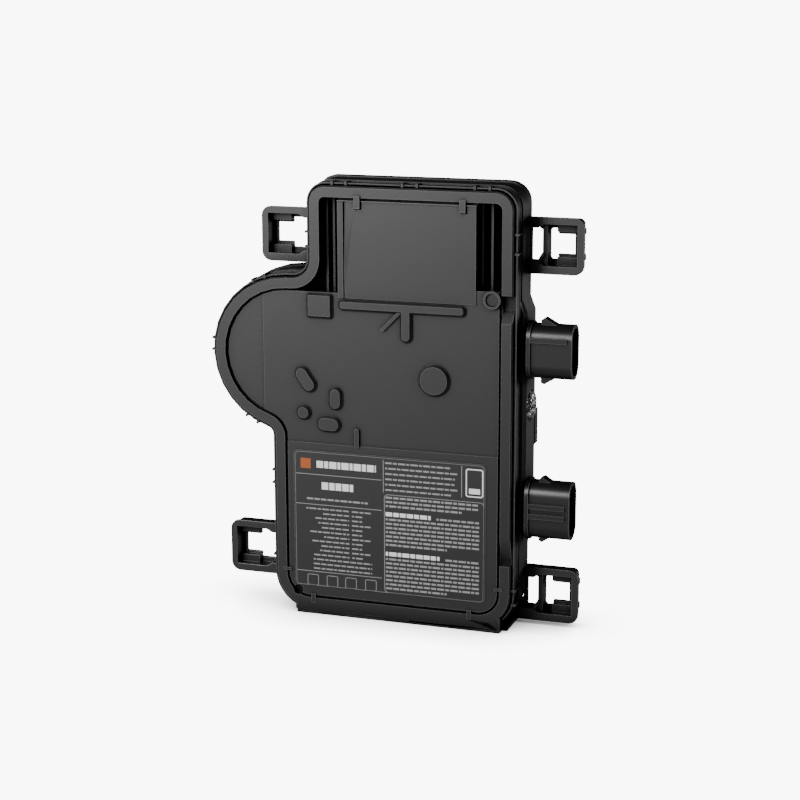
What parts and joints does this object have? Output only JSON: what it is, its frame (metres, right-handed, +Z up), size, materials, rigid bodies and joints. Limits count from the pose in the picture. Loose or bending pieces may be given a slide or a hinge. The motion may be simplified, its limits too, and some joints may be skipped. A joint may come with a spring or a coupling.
{
  "type": "module-level solar microinverter",
  "caption": "Potted module-level solar microinverter: slim black enclosure on its bottom edge, with open mounting ears, oval DC connectors on one flank and an AC receptacle in the back",
  "frame": {"origin": "centre of the bottom resting face, on the floor", "axes": "+Z up, front cover faces -Y, DC connectors point to +X"},
  "size_m": [0.1799, 0.0302, 0.2124],
  "materials": {
    "black_polymer": "fine satin moulded texture",
    "label_film": null,
    "dark_rubber": "matt elastomer",
    "clear_lens": "clear, glossy",
    "board_green": "solder mask",
    "tinned_metal": "tin plate",
    "copper": "bare copper",
    "ferrite": "dull ceramic",
    "aluminium": "plain sheet",
    "can_sleeve": "sleeve",
    "film_yellow": "dipped box",
    "package_black": "moulded package",
    "potting_grey": "cured resin",
    "led_emitter": "emitter package"
  },
  "bodies": {
    "root": {"front_cover": "black_polymer", "rear_housing": "black_polymer", "mounting_ear_upper_left": "black_polymer", "mounting_ear_upper_right": "black_polymer", "mounting_ear_lower_left": "black_polymer", "mounting_ear_lower_right": "black_polymer", "dc_connector_upper": "black_polymer", "dc_connector_lower": "black_polymer", "ac_receptacle": "black_polymer", "perimeter_gasket": "dark_rubber", "dc_seal_upper": "dark_rubber", "dc_seal_lower": "dark_rubber", "ac_seal": "dark_rubber", "fill_port_plug": "dark_rubber", "dc_contact_upper": "tinned_metal", "dc_contact_lower": "tinned_metal", "ac_pin_1": "tinned_metal", "ac_pin_2": "tinned_metal", "ac_pin_3": "tinned_metal", "ac_pin_4": "tinned_metal", "board_screw_1": "tinned_metal", "board_screw_2": "tinned_metal", "board_screw_3": "tinned_metal", "board_screw_4": "tinned_metal", "status_lens": "clear_lens", "status_emitter": "led_emitter", "rating_label": "label_film", "circuit_board": "board_green", "transformer_core_rear": "ferrite", "transformer_core_front": "ferrite", "communication_transformer": "ferrite", "output_choke_core": "ferrite", "transformer_winding": "copper", "common_mode_choke": "copper", "dc_busbar_upper": "copper", "dc_busbar_lower": "copper", "input_capacitor_1": "can_sleeve", "input_capacitor_2": "can_sleeve", "input_capacitor_3": "can_sleeve", "input_capacitor_4": "can_sleeve", "film_capacitor_1": "film_yellow", "film_capacitor_2": "film_yellow", "output_relay": "package_black", "control_processor": "package_black", "line_fuse": "package_black", "power_transistor_1": "package_black", "power_transistor_2": "package_black", "power_transistor_3": "package_black", "power_transistor_4": "package_black", "output_choke_base": "package_black", "heat_spreader": "aluminium", "potting_compound": "potting_grey"}
  },
  "joints": []
}
